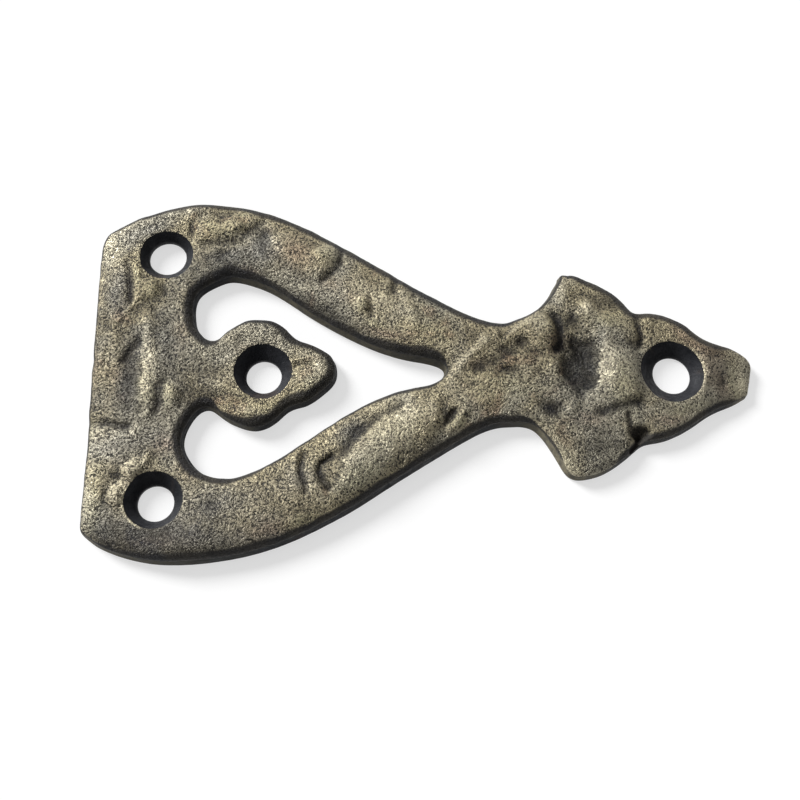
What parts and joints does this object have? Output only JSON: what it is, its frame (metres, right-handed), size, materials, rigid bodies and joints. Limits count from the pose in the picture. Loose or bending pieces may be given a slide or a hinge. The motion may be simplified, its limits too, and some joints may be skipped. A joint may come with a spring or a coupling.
{
  "type": "hinge front",
  "caption": "Cast iron hinge front: a screw-down plate with a straight butt edge, a heart-shaped window, a tongue and a lobed pointed tip, with countersunk screw holes.",
  "frame": {"origin": "bottom centre of the bounding box, on the plate's flat back", "axes": "+X from the straight butt edge to the pointed tip, +Y across the plate, +Z out of the decorated face"},
  "size_m": [0.1015, 0.0572, 0.004],
  "materials": {
    "casting": "rough sand-cast iron with a rubbed antique brass finish, dark in the hollows"
  },
  "bodies": {
    "root": {"hinge_front_casting": "casting"}
  },
  "joints": []
}
